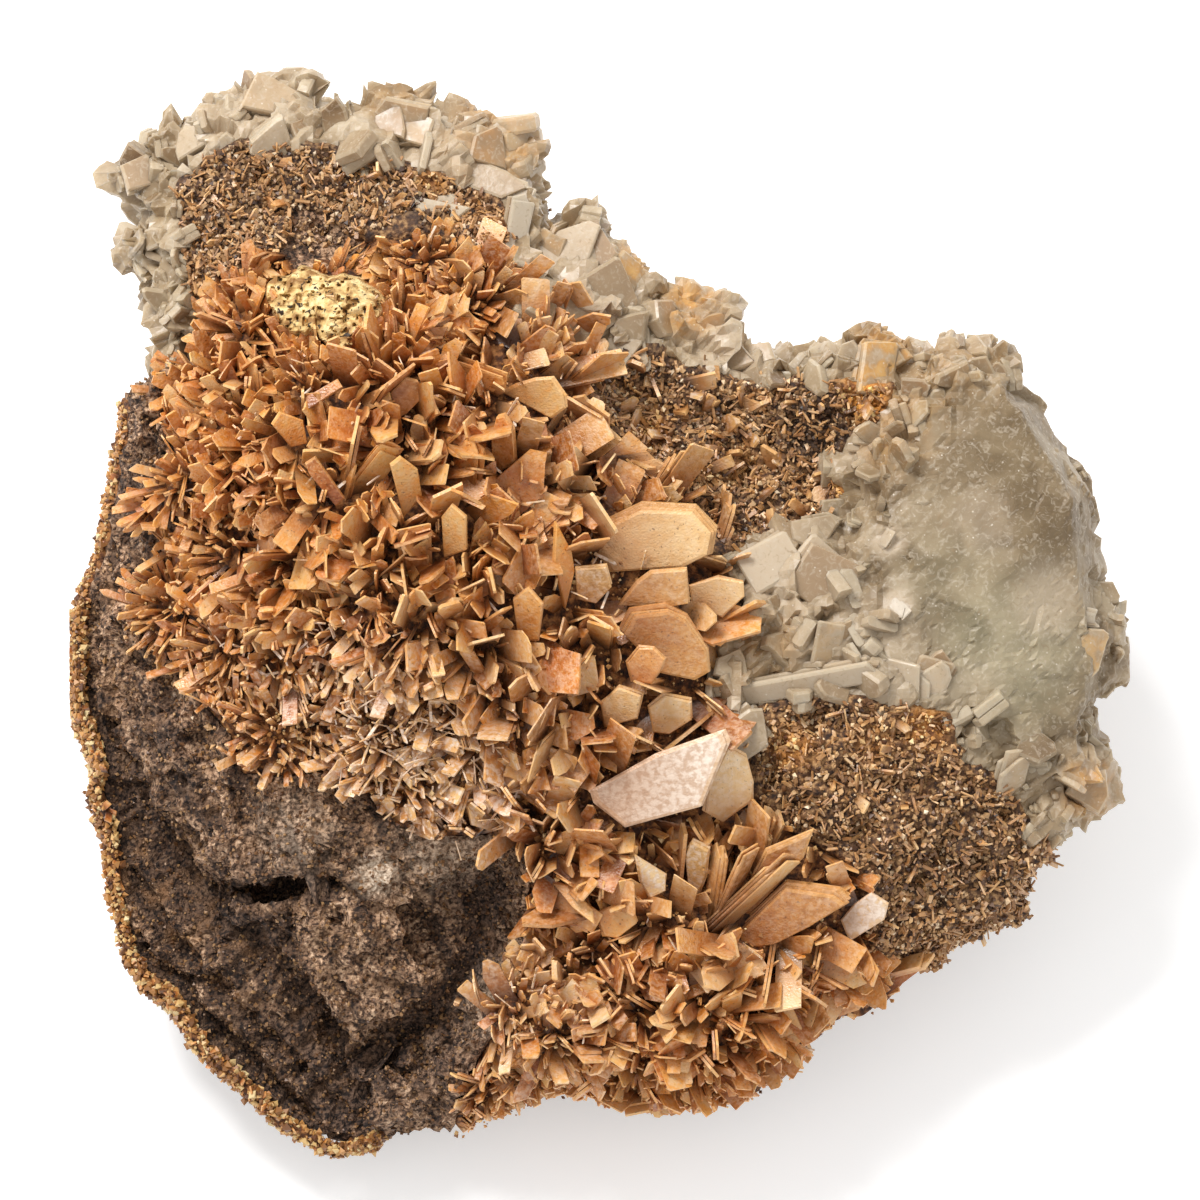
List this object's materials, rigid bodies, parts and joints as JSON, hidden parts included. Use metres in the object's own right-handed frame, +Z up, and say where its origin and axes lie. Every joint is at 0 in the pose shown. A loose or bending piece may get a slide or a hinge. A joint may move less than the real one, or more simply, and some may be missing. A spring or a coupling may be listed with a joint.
{
  "type": "bladed barite specimen",
  "caption": "Lump of dark rock with a dome and apron of standing brown barite blades, a vein of pale massive barite at its edge and sugary crusts between.",
  "frame": {"origin": "on the surface the specimen rests on, at a point of its small flat spot, under the middle of the crystal face", "axes": "+Z up; the crystal face looks up and leans 18 degrees towards -Y, the front; +X is to the right seen from the front"},
  "size_m": [0.1211, 0.119, 0.068],
  "materials": {
    "host_rock": "rough dark brown-grey rock with fine pale specks",
    "brown_barite": "translucent orange-tan blades with a glassy to pearly lustre",
    "pale_barite": "translucent grey-white to beige, glassy, with cleavage sparkles",
    "sugary_barite": "fine brown granular crust of tiny crystals"
  },
  "bodies": {
    "root": {"host_rock": "host_rock", "brown_blade_crust": "brown_barite", "flank_blade_crust": "brown_barite", "pale_barite_vein": "pale_barite", "wing_sugar_crust": "sugary_barite", "hollow_sugar_crust": "sugary_barite", "front_sugar_crust": "sugary_barite"}
  },
  "joints": []
}
